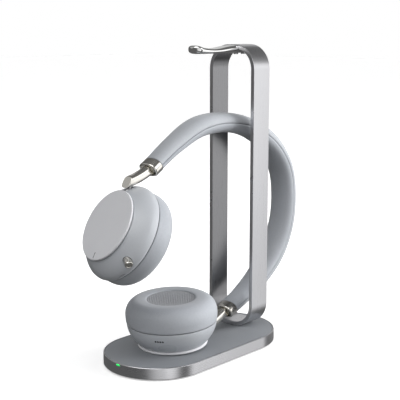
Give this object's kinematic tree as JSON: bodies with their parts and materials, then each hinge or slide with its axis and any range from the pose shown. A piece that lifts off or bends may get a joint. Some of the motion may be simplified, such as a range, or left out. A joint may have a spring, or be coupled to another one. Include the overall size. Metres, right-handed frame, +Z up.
{
  "type": "wireless headset with charging stand",
  "caption": "Over-ear wireless office headset lying sideways through the upright loop of its low charging stand, with a hook on top for hanging it up.",
  "frame": {"origin": "centre of the stand's underside", "axes": "+X along the base towards the upright loop, +Y across the base, +Z up"},
  "size_m": [0.2284, 0.084, 0.2416],
  "materials": {
    "aluminium": "fine satin brushed",
    "chrome": "polished",
    "nickel": "satin nickel plate",
    "soft_touch": "soft-touch matte",
    "shell": "satin paint",
    "disc": "fine matte",
    "cushion": "protein leather",
    "cover": "protein leather",
    "ear_mesh": "ribbed knit",
    "dark_plastic": "moulded",
    "rubber": "matte",
    "steel": "turned",
    "copper": "enamelled copper wire",
    "board": "solder mask",
    "battery": "foil wrap",
    "lamp": "translucent"
  },
  "bodies": {
    "stand": {"base_rim": "aluminium", "base_top_plate": "soft_touch", "base_bottom_cover": "dark_plastic", "base_foot_pad": "rubber", "base_screw_1": "steel", "base_screw_2": "steel", "base_screw_3": "steel", "base_screw_4": "steel", "ballast_plate": "steel", "charging_coil": "copper", "coil_shield": "dark_plastic", "charger_board": "board", "usb_c_socket": "steel", "status_light": "lamp", "loop_band": "aluminium", "hook": "chrome", "loop_screw_left": "steel", "loop_screw_right": "steel", "hook_screw_front": "steel", "hook_screw_rear": "steel"},
    "headband": {"headband_cover": "cover", "headband_cushion": "cushion", "headband_spring": "steel", "headband_frame": "dark_plastic", "upper_collar": "nickel", "lower_collar": "nickel"},
    "upper_arm": {"upper_arm": "nickel"},
    "upper_knuckle": {"upper_knuckle": "steel"},
    "upper_cup": {"upper_bowl": "shell", "upper_outer_disc": "disc", "upper_seam_ring": "dark_plastic", "upper_baffle": "dark_plastic", "upper_speaker": "steel", "upper_ear_cushion": "cushion", "upper_ear_mesh": "ear_mesh", "upper_board": "board", "upper_hinge_bracket": "steel", "upper_battery": "battery"},
    "upper_button": {"upper_button": "nickel"},
    "lower_arm": {"lower_arm": "nickel", "lower_knuckle": "steel"},
    "lower_cup": {"lower_bowl": "shell", "lower_outer_disc": "disc", "lower_seam_ring": "dark_plastic", "lower_baffle": "dark_plastic", "lower_speaker": "steel", "lower_ear_cushion": "cushion", "lower_ear_mesh": "ear_mesh", "lower_board": "board", "lower_hinge_bracket": "steel", "lower_receiver_coil": "copper"}
  },
  "joints": [
    {"name": "headset_slide", "type": "slide", "parent": "stand", "child": "headband", "axis": [-1, 0, 0], "range_m": [0, 0.1]},
    {"name": "upper_size", "type": "slide", "parent": "headband", "child": "upper_arm", "axis": [-0.8566, 0, -0.5159], "range_m": [0, 0.018]},
    {"name": "upper_swivel", "type": "hinge", "parent": "upper_arm", "child": "upper_knuckle", "pos_m": [-0.0824, 0, 0.1127], "axis": [0.515, 0, 0.8572], "range_deg": [-4, 26]},
    {"name": "upper_tilt", "type": "hinge", "parent": "upper_knuckle", "child": "upper_cup", "pos_m": [-0.07169, 0, 0.13053], "axis": [0.1665, 0.981, -0.1], "range_deg": [-6, 6]},
    {"name": "button_press", "type": "slide", "parent": "upper_cup", "child": "upper_button", "axis": [0.4488, 0.772, 0.4502], "range_m": [0, 0.001], "stiffness_N_per_m": 1200},
    {"name": "lower_size", "type": "slide", "parent": "headband", "child": "lower_arm", "axis": [-0.9179, 0, -0.3968], "range_m": [-0.012, 0]},
    {"name": "lower_tilt", "type": "hinge", "parent": "lower_arm", "child": "lower_cup", "pos_m": [-0.0015, 0, 0.01946], "axis": [0, 1, 0], "range_deg": [0, 4]}
  ]
}
